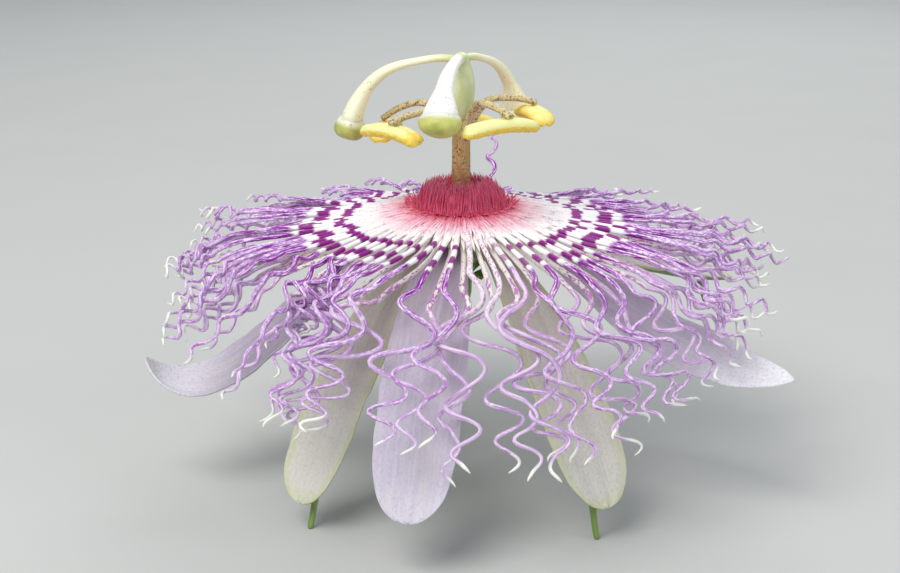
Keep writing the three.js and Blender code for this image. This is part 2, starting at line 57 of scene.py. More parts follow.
# -------------------- sizes, as in the solids but for more filaments and finer blades
CUP_RADIUS = 5.4
BLADE_START = CUP_RADIUS + 0.3
PETAL_ROOT_HEIGHT = -2.6
SEPAL_ROOT_HEIGHT = -3.9
COLUMN_RADIUS = 1.05
COLUMN_HEIGHT = 9.7
STYLE_SPRING = 16.95  # where the styles leave the ovary's crown


def table(names, *rows):
    """Rows of sizes as dicts, from the names of their columns."""
    return [dict(zip(names.split(), row)) for row in rows]


# Long filaments: the height of their roots, their slope in degrees, how far they run, the stream of their
# draws, whether one stands up, and the distance from the axis to which they stay straight, with its bells.
KNOT = -40  # azimuth of the tangle in both rows
STANDING_FILAMENT = 171.5  # azimuth of the one that stands up, behind the column
FRONT_REACH = 3.4  # how much further the front ones run
ROOT_RADIUS = 6.2
REST_HEIGHT = 1.15  # from a blade's middle surface up to a filament that lies on it
UPPER_ROW, LOWER_ROW = table(
    "count root slope reach stream stands level level_bells",
    (76, -0.75, 8.5, 30.4, 1, 1.0, 26.5, [(1.5, -90, 45), (-8.5, 10, 24), (-6.5, KNOT + 2, 13)]),
    (60, -1.3, 14.0, 28.6, 2, 0.0, 25.0, [(-6.5, 4, 34), (-3.9, KNOT + 2, 13)]),
)

# Petals and sepals: slopes in degrees stand at even steps of the length, the cup lifts the margins, the roll
# tips the blade sideways by degrees, and the tip is the power by which the outline closes.
POINTED = 2.0  # tips of a lower power end in a point
BLADE_SIZES = "azimuth length slopes width cup roll tip"
PETALS = table(
    BLADE_SIZES,
    (-10, 36.2, (12, 38, 52, 57), 8.8, 0.08, 0, 3.4),
    (66, 37.0, (20, 34, 30, 14, -4), 8.6, 0.12, 24, 1.5),
    (138, 33.0, (16, 14, 10), 9.0, 0.15, -6, 3.4),
    (-152, 33.0, (16, 16, 12), 9.0, 0.15, 5, 3.4),
    (-79, 38.8, (28, 40, 44, 40, 6, -72), 8.2, 0.3, -14, 1.7),
)
SEPALS = table(
    BLADE_SIZES,
    (-42, 32.6, (34, 50, 56, 58), 7.8, 0.2, -6, 3.0),
    (34.5, 32.8, (30, 48, 54, 57), 8.4, 0.14, 6, 3.0),
    (104, 29.0, (22, 14, 8), 8.2, 0.2, 0, 3.0),
    (-172, 32.6, (32, 49, 55, 57), 8.2, 0.18, 0, 3.0),
    (-115, 29.0, (22, 14, 8), 8.2, 0.2, 0, 3.0),
)
STANDING_SEPALS = (1, 2, 4)  # their awns reach the surface

# Stamens: where the arm meets the anther's back, the anther's length, turn in degrees and slide along itself,
# how golden its back is, and how far one end curls over to show the pollen.
STAMENS = table(
    "azimuth reach height length turn slide gold curl",
    (-46, 10.4, 10.9, 8.8, 0, -0.5, 0.1, 0.55),
    (32, 9.6, 11.8, 9.6, 0, -0.9, 0, 0),
    (104, 8.5, 11.6, 8.0, 4, -0.9, 0.45, 0.3),
    (176, 9.4, 9.4, 9.4, -8, 1.1, 0.5, 0),
    (-112, 9.4, 9.5, 9.2, 14, 0.4, 0.5, 0),
)

# Styles: how far out and how high the stigma's middle is, how far the path bends inwards, and how stout and
# how cream the style is. A cream of 0 leaves a style near white, which is a painted highlight.
STYLES = table(
    "azimuth reach head bend stout cream",
    (-97, 12.75, 8.8, 0.0, 0.0, 1.0),
    # The front style's cream of 0 makes it near white: a painted highlight on a cream style.
    (-12.5, 10.8, 11.3, 0.08, 0.2, 0.0),
    (140, 10.5, 9.0, 0.07, 0.0, 1.0),
)
STYLE_PATH = [  # shares of the reach outwards and of the fall to the stigma
    (0.03, 0.05), (0.2, 0.04), (0.4, 0.09), (0.58, 0.165), (0.72, 0.28),
    (0.84, 0.46), (0.92, 0.66), (0.97, 0.84), (1.0, 1.0),
]


# -------------------- arithmetic
def ramp(value, start, end):
    """A ramp from 0 at start to 1 at end, flat at both ends: 3t^2 - 2t^3 of the clipped share t."""
    t = np.clip((value - start) / (end - start), 0, 1)
    return t * t * (3 - 2 * t)


def scatter(index, stream):
    """A repeatable scatter from -1 to 1.

    It is the fraction of 43758.5453 sin(12.9898 index + 78.233 stream), doubled, less 1.
    """
    spread = np.sin(np.asarray(index, float) * 12.9898 + stream * 78.233) * 43758.5453
    return 2 * (spread - np.floor(spread)) - 1


def along_list(values, share):
    """The value at a share of a list of values that stand at even steps."""
    return np.interp(share, np.linspace(0, 1, len(values)), values)


def outwards(azimuth):
    """The flat unit vector along an azimuth."""
    angle = np.radians(azimuth)
    return np.stack([np.sin(angle), -np.cos(angle), np.zeros_like(angle)], -1)


def unit(vector):
    """The vector at a length of 1."""
    return vector / np.linalg.norm(vector, axis=-1, keepdims=True)


def round_angles(count):
    """Angles at even steps once round a section."""
    return np.linspace(0, 2 * np.pi, count, endpoint=False)


def flattened(angle, power):
    """The height of a flattened loop at an angle: the power of its sine, with the sine's sign."""
    return np.sign(np.sin(angle)) * np.abs(np.sin(angle)) ** power


def polar(distance, azimuth, height):
    """The point at a distance from the axis, an azimuth and a height above the hub."""
    distance, azimuth, height = np.broadcast_arrays(distance, azimuth, height)
    point = outwards(azimuth) * distance[..., None]
    point[..., 2] = height
    return point


def near(azimuth, middle, spread):
    """A bell: e to the power of minus the square of the distance from the middle in spreads."""
    return np.exp(-(((azimuth - middle) / spread) ** 2))


def bells(azimuth, terms):
    """The sum of bells, each given by its height, middle azimuth and spread."""
    return sum(height * near(azimuth, middle, spread) for height, middle, spread in terms)


def smooth_noise(x, y, stream):
    """A smooth wavy field from -1 to 1: three sines of x and y, each finer, half as high and turned."""
    total = 0.0
    for octave in range(3):
        turn = 2.4 * octave + stream
        u = (x * math.cos(turn) + y * math.sin(turn)) * 1.9**octave
        v = (-x * math.sin(turn) + y * math.cos(turn)) * 1.9**octave
        total = total + 0.5**octave * np.sin(u + 1.7 * np.sin(v + stream))
    return total / 1.75


# -------------------- meshes from grids
class Grid:
    """Surfaces on grids: points has the axes piece, row, column and xyz, and each column closes on the first.

    The first and last rows are closed by a face each. facts holds named numbers for every point, but flow is
    a vector.
    """

    def __init__(self, points, **facts):
        self.points = points
        self.facts = facts


def add_piece(name, grids, finish, nodes):
    """One smooth mesh object from grids, in place in the frame, standing for the named CAD nodes."""
    names = sorted({key for grid in grids for key in grid.facts})
    places, corners, sizes, facts = [], [], [], {key: [] for key in names}
    first = 0
    for grid in grids:
        count, rows, columns = grid.points.shape[:3]
        index = first + np.arange(count * rows * columns).reshape(count, rows, columns)
        right = np.roll(index, -1, axis=2)
        quads = np.stack([index[:, :-1], right[:, :-1], right[:, 1:], index[:, 1:]], -1).reshape(-1, 4)
        caps = np.concatenate([index[:, 0, ::-1], index[:, -1]])
        corners += [quads.ravel(), caps.ravel()]
        sizes += [np.full(len(quads), 4), np.full(len(caps), columns)]
        places.append(grid.points.reshape(-1, 3))
        for key in names:
            shape = grid.points.shape if key == "flow" else grid.points.shape[:3]
            facts[key].append(np.broadcast_to(grid.facts.get(key, 0.0), shape).ravel())
        first += index.size
    places = (np.concatenate(places) + HUB) / 1000
    corners, sizes = np.concatenate(corners), np.concatenate(sizes)
    starts = np.cumsum(sizes) - sizes
    mesh = bpy.data.meshes.new(name)
    mesh.vertices.add(len(places))
    mesh.vertices.foreach_set("co", places.astype(np.float32).ravel())
    mesh.loops.add(len(corners))
    mesh.loops.foreach_set("vertex_index", corners.astype(np.int32))
    mesh.polygons.add(len(starts))
    mesh.polygons.foreach_set("loop_start", starts.astype(np.int32))
    mesh.polygons.foreach_set("loop_total", sizes.astype(np.int32))
    mesh.polygons.foreach_set("use_smooth", np.ones(len(starts), bool))
    for key in names:
        kind, field = ("FLOAT_VECTOR", "vector") if key == "flow" else ("FLOAT", "value")
        values = np.concatenate(facts[key]).astype(np.float32)
        mesh.attributes.new(key, kind, "POINT").data.foreach_set(field, values)
    mesh.update(calc_edges=True)
    mesh.validate()
    piece = bpy.data.objects.new(name, mesh)
    bpy.context.scene.collection.objects.link(piece)
    mesh.materials.append(finish)
    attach(piece, "root")
    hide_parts(*nodes)


def path_frames(paths):
    """For each row of each path, two unit vectors square to it, carried along without twisting."""
    ahead = unit(np.gradient(paths, axis=1))
    side = np.cross([0.0, 0.0, 1.0], ahead[:, 0])
    flat = np.linalg.norm(side, axis=1, keepdims=True) < 0.01
    side = np.where(flat, [1.0, 0.0, 0.0], side)
    sides = np.empty_like(paths)
    for row in range(paths.shape[1]):
        side = unit(side - ahead[:, row] * np.sum(side * ahead[:, row], axis=1, keepdims=True))
        sides[:, row] = side
    return sides, np.cross(ahead, sides)


def tubes(paths, half_width, half_height, sides, **facts):
    """Tubes along paths (piece, row, xyz): an ellipse of the given half sizes square to the path at each row.

    Every point keeps its share along the path, a number of its own for each tube, and its flow: millimetres
    across, along and through the tube, with the tubes set apart.
    """
    side, top = path_frames(paths)
    angle = round_angles(sides)
    wide = np.broadcast_to(half_width, paths.shape[:2])[..., None] * np.cos(angle)
    high = np.broadcast_to(half_height, paths.shape[:2])[..., None] * np.sin(angle)
    points = paths[:, :, None] + side[:, :, None] * wide[..., None] + top[:, :, None] * high[..., None]
    share = np.linspace(0, 1, paths.shape[1])[None, :, None]
    own = scatter(np.arange(len(paths)) + 1, 7.0)[:, None, None]
    lengths = np.cumsum(np.linalg.norm(np.diff(paths, axis=1, prepend=paths[:, :1]), axis=2), axis=1)
    flow = np.stack(np.broadcast_arrays(wide, lengths[..., None], high + 9 * own), -1)
    return Grid(points, share=share, own=own, flow=flow, **facts)


def curve_points(controls, count):
    """Points at even steps of length along a smooth Catmull-Rom curve through the control points."""
    controls = np.asarray(controls, float)
    padded = np.vstack([2 * controls[0] - controls[1], controls, 2 * controls[-1] - controls[-2]])
    t = np.linspace(0, len(controls) - 1, 40 * len(controls))
    k = np.minimum(t.astype(int), len(controls) - 2)
    f = (t - k)[:, None]
    a, b, c, d = (padded[k + j] for j in range(4))
    fine = 0.5 * (2 * b + (c - a) * f + (2 * a - 5 * b + 4 * c - d) * f**2 + (3 * b - a - 3 * c + d) * f**3)
    length = np.concatenate([[0], np.cumsum(np.linalg.norm(np.diff(fine, axis=0), axis=1))])
    even = np.linspace(0, length[-1], count)
    return np.stack([np.interp(even, length, values) for values in fine.T], -1)


def turned(profile, columns, rows, lobes=0.0, lobe_count=3):
    """A solid of revolution: a smooth curve through (distance, height) points, turned about the axis.

    Faint lobes swell the distance by a cosine of the azimuth.
    """
    profile = curve_points(profile, rows)
    azimuth = np.linspace(0, 360, columns, endpoint=False)
    swell = 1 + lobes * np.cos(np.radians(lobe_count * azimuth))
    return polar(np.maximum(profile[:, :1], 1e-3) * swell, azimuth[None], profile[:, 1:])[None]


# -------------------- finishes
class Value:
    """A number socket that can be written in sums: each operator adds a Math node."""

    def __init__(self, nodes, socket):
        self.nodes, self.socket = nodes, socket

    def _math(self, operation, *values):
        return self.nodes.node("ShaderNodeMath", dict(enumerate(values)), operation=operation)

    def __add__(self, other):
        return self._math("ADD", self, other)

    def __sub__(self, other):
        return self._math("SUBTRACT", self, other)

    def __rsub__(self, other):
        return self._math("SUBTRACT", other, self)

    def __mul__(self, other):
        return self._math("MULTIPLY", self, other)

    __radd__, __rmul__ = __add__, __mul__


class Nodes:
    """The node tree of one finish."""

    def __init__(self, name):
        self.material = bpy.data.materials.new(name)
        self.material.use_nodes = True
        self.tree = self.material.node_tree
        self.tree.nodes.clear()

    def node(self, kind, values=None, output=0, **settings):
        """A node with its settings, then the values or links of its sockets. Returns the given output."""
        made = self.tree.nodes.new(kind)
        for key, value in settings.items():
            setattr(made, key, value)
        for key, value in (values or {}).items():
            if isinstance(value, Value):
                self.tree.links.new(value.socket, made.inputs[key])
            else:
                made.inputs[key].default_value = value
        return Value(self, made.outputs[output]) if len(made.outputs) else made

    def facts(self, *names):
        """Named numbers of the mesh. The one called flow is a vector."""
        return [self.node("ShaderNodeAttribute", output="Vector" if name == "flow" else "Fac",
                          attribute_name=name) for name in names]

    def place(self):
        """Object coordinates, in metres."""
        return self.node("ShaderNodeTexCoord", output="Object")

    def scaled(self, vector, x, y, z):
        """A vector stretched along each axis."""
        return self.node("ShaderNodeVectorMath", {0: vector, 1: (x, y, z)}, operation="MULTIPLY")

    def noise(self, vector, stretch, detail=3.0, roughness=0.55):
        """Smooth noise from 0 to 1 over a vector, stretched by a number, or by one for each axis."""
        if isinstance(stretch, tuple):
            vector, stretch = self.scaled(vector, *stretch), 1.0
        return self.node("ShaderNodeTexNoise", {
            "Vector": vector, "Scale": stretch, "Detail": detail, "Roughness": roughness,
        })

    def ramp(self, value, start, end):
        """0 below start, 1 above end, and smooth between."""
        return self.node("ShaderNodeMapRange", {0: value, 1: start, 2: end, 3: 0.0, 4: 1.0},
                         interpolation_type="SMOOTHSTEP")

    def band(self, value, start, end, soft):
        """1 between start and end, and 0 outside, with soft edges."""
        rise, fall = self.ramp(value, start - soft, start + soft), self.ramp(value, end - soft, end + soft)
        return rise * (1 - fall)

    def mix(self, factor, first, second):
        """From the first colour to the second by the factor. The node's colour sockets go by number."""
        first, second = (c if isinstance(c, Value) else (*c, 1.0) for c in (first, second))
        return self.node("ShaderNodeMix", {0: factor, 6: first, 7: second}, output=2, data_type="RGBA")

    def finish(self, values):
        """Ends the tree in a Principled shader with values for its sockets."""
        shader = self.node("ShaderNodeBsdfPrincipled", values)
        self.node("ShaderNodeOutputMaterial", {0: shader})
        return self.material

    def skin(self, colour, roughness, height, depth):
        """Ends the tree in living skin, roughened by a height whose full swing is the depth in metres."""
        normal = self.node("ShaderNodeBump", {"Height": height, "Distance": depth})
        return self.finish({"Base Color": colour, "Roughness": roughness, "Normal": normal, **SKIN})


SKIN = {
    "Subsurface Weight": 0.25, "Subsurface Scale": 0.0012, "Subsurface Radius": (1.0, 0.6, 0.5),
    "Specular IOR Level": 0.35,
}
PALE_TIP = (0.88, 0.90, 0.80)


def long_filament_finish():
    """White at the root, two dark purple bands, purple streaked with white, then lavender and a pale tip.

    Where the fact called pale is high, the bands and streaks give way to white mottled with pinkish purple.
    """
    n = Nodes("banded filaments")
    run, own, share, pale, flow = n.facts("run", "own", "share", "pale", "flow")
    grain = n.noise(flow, (2.6, 0.7, 2.6))
    fleck = n.noise(flow, (5.0, 2.2, 5.0), 2.0)
    place = run + own * 0.7 + (grain - 0.5) * 1.3
    streak = n.noise(flow, (6.0, 0.45, 6.0))

    white = n.mix(n.ramp(run, 6.5, 11.5), (0.96, 0.66, 0.76), (0.97, 0.92, 0.95))
    white = n.mix(n.ramp(streak, 0.52, 0.62) * 0.5 * n.band(run, 7.0, 14.0, 2.0), white, (0.93, 0.62, 0.74))
    dots = n.ramp(fleck, 0.62, 0.72) * n.band(run, 9.0, 13.0, 1.0)
    white = n.mix(dots * 0.5, white, (0.55, 0.20, 0.42))
    bands = n.band(place, 13.1, 14.3, 0.18) + n.band(place + own * 0.5, 16.3, 18.1, 0.2)
    banded = n.mix(bands, white, n.mix(grain, (0.18, 0.003, 0.17), (0.32, 0.010, 0.30)))

    violet = n.mix(streak, (0.17, 0.003, 0.24), (0.32, 0.02, 0.40))
    light = n.mix(n.ramp(fleck, 0.44, 0.60), (0.56, 0.28, 0.70), (0.94, 0.80, 0.96))
    striped = streak + own * 0.03 + 0.07 * n.ramp(place, 19.0, 24.0)
    streaked = n.mix(n.ramp(striped, 0.505, 0.57), violet, light)
    lavender = n.mix(n.ramp(streak, 0.40, 0.60), (0.40, 0.18, 0.52), (0.68, 0.48, 0.76))
    lavender = n.mix(n.ramp(fleck, 0.48, 0.64) * 0.65, lavender, (0.90, 0.82, 0.91))
    outer = n.mix(n.ramp(place, 23.5, 29.0), streaked, lavender)
    colour = n.mix(n.ramp(place, 19.0, 19.7), banded, outer)
    mottled = n.mix(n.ramp(fleck, 0.50, 0.60), (0.93, 0.86, 0.84), (0.55, 0.27, 0.58))
    dusky = n.mix(n.ramp(streak, 0.42, 0.60), (0.52, 0.33, 0.62), (0.78, 0.63, 0.80))
    mottled = n.mix(n.ramp(place, 22.0, 28.0) * 0.85, mottled, dusky)
    colour = n.mix(n.ramp(pale, 0.25, 0.8) * 0.85, colour, mottled)
    colour = n.mix(n.ramp(share + own * 0.025, 0.945, 0.975), colour, PALE_TIP)
    return n.skin(colour, 0.42, streak + fleck * 0.4, 0.00006)


def under_filament_finish():
    """Cream at the root, mottled with pinkish purple, then lavender and a pale tip."""
    n = Nodes("cream filaments")
    run, own, share, flow = n.facts("run", "own", "share", "flow")
    streak = n.noise(flow, (5.0, 0.5, 5.0), 2.0)
    fleck = n.noise(flow, (4.0, 1.6, 4.0))
    cream = n.mix(n.ramp(run, 7.0, 14.0), (0.88, 0.76, 0.58), (0.94, 0.88, 0.82))
    mottle = n.ramp(fleck + n.ramp(run, 13.0, 24.0) * 0.14, 0.58, 0.68) * n.ramp(run, 12.0, 16.0)
    colour = n.mix(mottle, cream, n.mix(streak, (0.42, 0.09, 0.40), (0.62, 0.30, 0.64)))
    lavender = n.mix(n.ramp(streak, 0.38, 0.62), (0.50, 0.28, 0.60), (0.76, 0.58, 0.82))
    lavender = n.mix(n.ramp(fleck, 0.50, 0.66) * 0.6, lavender, (0.92, 0.87, 0.94))
    colour = n.mix(n.ramp(run + own * 1.5, 20.0, 27.0), colour, lavender)
    colour = n.mix(n.ramp(share + own * 0.02, 0.945, 0.975), colour, PALE_TIP)
    return n.skin(colour, 0.42, streak + fleck * 0.4, 0.00006)


def petal_finish():
    """Lavender-grey with fine veins and small darker cells, paler at the tip, most so at a pointed one."""
    n = Nodes("petal")
    flow, along, pointed = n.facts("flow", "along", "pointed")
    vein = n.noise(flow, (2.4, 0.10, 1.0), 4.0, 0.6)
    cell = n.noise(flow, (3.5, 2.6, 1.0), 4.0, 0.65)
    cloud = n.noise(flow, (0.35, 0.22, 1.0), 2.0)
    colour = n.mix(n.ramp(along, 0.0, 0.85), (0.43, 0.35, 0.46), (0.51, 0.48, 0.58))
    colour = n.mix(n.ramp(along, 0.86, 1.0) * 0.5, colour, (0.72, 0.72, 0.76))
    colour = n.mix(n.ramp(along, 0.62, 0.95) * pointed * 0.75, colour, (0.84, 0.85, 0.88))
    colour = n.mix(n.ramp(vein, 0.42, 0.66) * 0.25, colour, (0.74, 0.71, 0.79))
    colour = n.mix(n.ramp(cell, 0.48, 0.66) * 0.45, colour, (0.42, 0.34, 0.48))
    colour = n.mix(n.ramp(cloud, 0.45, 0.7) * 0.3, colour, (0.60, 0.56, 0.52))
    return n.skin(colour, 0.5, cell * 0.6 + vein, 0.00016)


def sepal_finish():
    """Greenish beige inside with a green margin, and green on the back."""
    n = Nodes("sepal")
    flow, along, across, back = n.facts("flow", "along", "across", "back")
    vein = n.noise(flow, (2.2, 0.10, 1.0), 4.0, 0.6)
    cell = n.noise(flow, (3.2, 2.4, 1.0), 4.0, 0.65)
    colour = n.mix(n.ramp(along, 0.1, 0.95), (0.56, 0.52, 0.46), (0.66, 0.65, 0.60))
    colour = n.mix(n.ramp(vein, 0.40, 0.66) * 0.25, colour, (0.74, 0.71, 0.74))
    colour = n.mix(n.ramp(cell, 0.46, 0.66) * 0.4, colour, (0.47, 0.44, 0.35))
    edge = n.ramp(across + (cell - 0.5) * 0.3, 0.60, 1.0) * 0.5 + n.ramp(along, 0.93, 1.0) * 0.4
    colour = n.mix(edge, colour, (0.52, 0.57, 0.27))
    green = n.mix(vein, (0.13, 0.25, 0.05), (0.30, 0.42, 0.14))
    colour = n.mix(n.ramp(back, 0.35, 0.65), colour, green)
    return n.skin(colour, 0.5, cell * 0.6 + vein, 0.00016)


def green_finish():
    """Fresh green stem skin with faint lengthwise lines and paler flecks."""
    n = Nodes("green skin")
    place = n.place()
    line = n.noise(place, (2600, 2600, 260))
    cloud = n.noise(place, 300)
    colour = n.mix(line, (0.12, 0.24, 0.04), (0.30, 0.44, 0.11))
    colour = n.mix(n.ramp(cloud, 0.5, 0.75) * 0.4, colour, (0.40, 0.46, 0.20))
    return n.skin(colour, 0.48, line, 0.0001)


def disc_finish():
    """By distance from the axis: rose beside the fringe, then pink, then white, with pink streaks and dots.

    The rose reaches further out in front.
    """
    n = Nodes("corona floor")
    own, share = n.facts("own", "share")
    place = n.place()
    from_hub = n.node("ShaderNodeVectorMath", {0: place, 1: tuple(HUB / 1000)}, operation="SUBTRACT")
    level = n.scaled(from_hub, 1000, 1000, 0)
    distance = n.node("ShaderNodeVectorMath", {0: level}, output="Value", operation="LENGTH")
    heading = n.node("ShaderNodeVectorMath", {0: level}, operation="NORMALIZE")
    front = n.node("ShaderNodeSeparateXYZ", {0: from_hub}, output="Y") * -1000
    grain = n.noise(place, (2200, 2200, 900))
    streak = n.noise(heading, 26, 2.0)
    out = distance + own * 0.7 + (grain - 0.5) * 1.8 + share * 0.4 - n.ramp(front, 2.0, 8.0) * 1.2
    colour = n.mix(n.ramp(out, 4.8, 6.6), (0.72, 0.070, 0.17), (0.92, 0.25, 0.37))
    colour = n.mix(n.ramp(out, 6.4, 8.4), colour, (0.96, 0.62, 0.72))
    colour = n.mix(n.ramp(out, 8.2, 10.8), colour, (0.98, 0.92, 0.95))
    colour = n.mix(n.ramp(distance, 10.4, 12.0), colour, (0.94, 0.90, 0.82))
    pinker = n.ramp(streak + (grain - 0.5) * 0.7, 0.55, 0.72) * n.ramp(distance, 6.0, 7.5)
    colour = n.mix(pinker * 0.45, colour, (0.90, 0.45, 0.62))
    dots = n.ramp(n.noise(place, 1900, 1.0), 0.64, 0.70)
    colour = n.mix(dots * 0.55 * n.ramp(distance, 7.0, 8.5), colour, (0.50, 0.20, 0.42))
    return n.skin(colour, 0.42, grain, 0.00005)


def crimson_finish():
    """Bright crimson at the foot of the fringe, deep rose at its middle and plum at the tips."""
    n = Nodes("crimson filaments")
    share, own, flow = n.facts("share", "own", "flow")
    grain = n.noise(flow, (4.0, 1.4, 4.0), 2.0)
    up = share + own * 0.08 + (grain - 0.5) * 0.25
    colour = n.mix(n.ramp(up, 0.15, 0.60), (0.96, 0.20, 0.31), (0.80, 0.066, 0.17))
    colour = n.mix(n.ramp(up, 0.55, 0.9), colour, (0.50, 0.062, 0.16))
    colour = n.mix(n.ramp(own, 0.3, 0.9) * 0.35, colour, (0.72, 0.14, 0.28))
    colour = n.mix(n.ramp(grain, 0.55, 0.7) * 0.3, colour, (0.82, 0.22, 0.34))
    return n.skin(colour, 0.36, grain, 0.00004)


def speckled_finish(name, pale, warm, speck, low, high, amount):
    """Skin with small dark specks, warm below the low height and pale above the high one, in millimetres.

    The amount widens the coarser specks.
    """
    n = Nodes(name)
    place = n.place()
    height = n.node("ShaderNodeSeparateXYZ", {0: place}, output="Z") * 1000
    grain = n.noise(place, (1500, 1500, 700))
    fine = n.noise(place, (4200, 4200, 3000), 2.0)
    colour = n.mix(n.ramp(height, low, high), warm, pale)
    colour = n.mix(n.ramp(grain, 0.4, 0.65) * 0.5, colour, (0.62, 0.52, 0.30))
    specks = n.ramp(fine + (grain - 0.5) * 0.5, 0.66 - amount, 0.72 - amount)
    tiny = n.noise(place, (7000, 7000, 5000), 1.0)
    specks = specks * 0.8 + n.ramp(tiny, 0.56, 0.64) * 0.5
    colour = n.mix(specks, colour, speck)
    return n.skin(colour, 0.42, grain, 0.0001)


def ovary_finish():
    """Pale yellow-green with a whitish bloom."""
    n = Nodes("ovary")
    place = n.place()
    bloom = n.noise(place, (500, 500, 300), 4.0)
    fine = n.noise(place, 4000, 2.0)
    colour = n.mix(n.ramp(bloom, 0.35, 0.7), (0.62, 0.70, 0.34), (0.80, 0.84, 0.60))
    colour = n.mix(n.ramp(fine, 0.6, 0.75) * 0.35, colour, (0.78, 0.82, 0.66))
    return n.skin(colour, 0.46, fine, 0.00004)


def style_finish():
    """Cream with a few tiny purple specks, green at the crown, yellow-green where it is ripe.

    Where the fact called cream is 0, the cream gives way to near white, a painted highlight.
    """
    n = Nodes("style")
    place = n.place()
    share, ripe, cream = n.facts("share", "ripe", "cream")
    cloud = n.noise(place, 420)
    fine = n.noise(place, 3600, 1.0)
    # Near white where cream is 0 is a painted highlight; the cream is the style's own colour.
    pale = n.mix(cream, (0.95, 0.94, 0.90), (0.93, 0.90, 0.66))
    colour = n.mix(n.ramp(share, 0.02, 0.26), (0.62, 0.66, 0.32), pale)
    colour = n.mix(n.ramp(cloud, 0.45, 0.7) * 0.25, colour, (0.84, 0.84, 0.58))
    specks = n.ramp(fine, 0.66, 0.70) * n.ramp(share, 0.4, 0.65)
    colour = n.mix(specks * 0.6, colour, (0.40, 0.20, 0.38))
    green = n.mix(n.ramp(cloud, 0.35, 0.65), (0.40, 0.43, 0.10), (0.60, 0.60, 0.18))
    colour = n.mix(n.ramp(ripe + (cloud - 0.5) * 0.6, 0.15, 0.75), colour, green)
    return n.skin(colour, 0.4, cloud + fine * 0.2, 0.00008)


def anther_finish():
    """Pale greenish yellow on the back, golden and powdery with pollen at the edges and below."""
    n = Nodes("anther")
    place = n.place()
    [under] = n.facts("under")
    cloud = n.noise(place, 700)
    grain = n.noise(place, 4200, 3.0, 0.7)
    back = n.mix(cloud, (0.84, 0.80, 0.30), (0.84, 0.86, 0.46))
    pollen = n.mix(grain, (0.96, 0.60, 0.04), (1.0, 0.84, 0.20))
    colour = n.mix(n.ramp(under + (cloud - 0.5) * 0.5, 0.35, 0.6), back, pollen)
    return n.skin(colour, 0.6, grain, 0.00009)


# -------------------- petals and sepals
PETAL_THICKNESS, SEPAL_THICKNESS, KEEL_HEIGHT = 0.42, 0.55, 0.35
CENTRE_STEPS = 60
CENTRE_SHARES = np.linspace(0, 1, CENTRE_STEPS + 1)


def blade_centre(spec, root_height):
    """Distance and height at even steps along a blade's middle: running sums of cos and sin of its slope."""
    step = spec["length"] / CENTRE_STEPS
    slope = np.radians(along_list(spec["slopes"], (np.arange(CENTRE_STEPS) + 0.5) / CENTRE_STEPS))
    distance = BLADE_START + step * np.concatenate([[0], np.cumsum(np.cos(slope))])
    height = root_height - step * np.concatenate([[0], np.cumsum(np.sin(slope))])
    return distance, height


def full_half_width(spec, share):
    """Half the blade's width before its tip closes: a sine that is full from 0.58 of the length."""
    return spec["width"] / 2 * (0.42 + 0.58 * np.sin(np.pi / 2 * np.clip(share / 0.58, 0, 1)) ** 1.3)


def blade(spec, root_height, thickness, stream, keel=0.0):
    """A thin petal or sepal. Rows run along its middle line and columns round its flat section.

    The section is a flattened loop: across = cos, and the thickness the 0.45th power of sin. Margins rise by
    the cup, the tip closes as a rounded power curve, and the faces carry low waves and lengthwise furrows.
    A keel stands on the back as a narrow bell. Rows crowd towards the tip, and the first lie in the cup.
    """
    share = (-0.03 + 1.03 * (1 - (1 - np.linspace(0, 1, 110)) ** 1.9))[:, None]
    angle = round_angles(64)[None]
    distance, height = blade_centre(spec, root_height)
    slope = np.radians(along_list(spec["slopes"], share))
    before = np.minimum(share, 0) * spec["length"]
    at_distance = np.interp(share, CENTRE_SHARES, distance) + before * np.cos(slope)
    at_height = np.interp(share, CENTRE_SHARES, height) - before * np.sin(slope)
    roll = np.radians(spec["roll"] * np.clip(share, 0, 1))

    tip = np.clip((share - 0.70) / 0.30, 0, 1)
    pointed = spec["tip"] < POINTED
    closing = np.maximum(1 - tip ** spec["tip"], 0) ** (0.72 if pointed else 0.5)
    half = full_half_width(spec, share) * closing + 0.02
    across = np.cos(angle)
    side = across * half * (1 + 0.018 * smooth_noise(share * 26 + 3 * np.sign(across), 0 * angle, stream))
    face = flattened(angle, 0.45)
    plump = thickness / 2 * np.minimum(1, half / 1.2)
    furrows = 0.10 * np.cos(across * np.pi * 3.0) * (1 - across**2) * ramp(share, 0, 0.2)
    waves = 0.16 * smooth_noise(side * 0.34, share * 9, stream + 2)
    waves = waves + 0.05 * smooth_noise(side * 1.5, share * 34, stream)
    waves = waves + 0.22 * across**4 * smooth_noise(share * 15 + np.sign(across) * 2, 0 * side, stream + 5)
    lift = half * (spec["cup"] * across**2 + across * np.sin(roll)) + furrows
    lift = lift + waves * ramp(share, 0.05, 0.3) * (1 - 0.5 * tip)
    ridge = keel * np.exp(-((side / 0.5) ** 2)) * (np.sin(angle) < 0) * (1 - ramp(share, 0.85, 0.95))
    off = lift + face * plump - ridge
    points = polar(at_distance + off * np.sin(slope), spec["azimuth"], at_height + off * np.cos(slope))
    points = points + outwards(spec["azimuth"] + 90) * (side * np.cos(roll))[..., None]
    flow = np.stack(np.broadcast_arrays(side, share * spec["length"], 7.0 * stream), -1)[None]
    return Grid(points[None], along=np.clip(share, 0, 1)[None], across=np.abs(across)[None],
                back=(np.sin(angle) < -0.05).astype(float)[None], flow=flow, pointed=float(pointed))


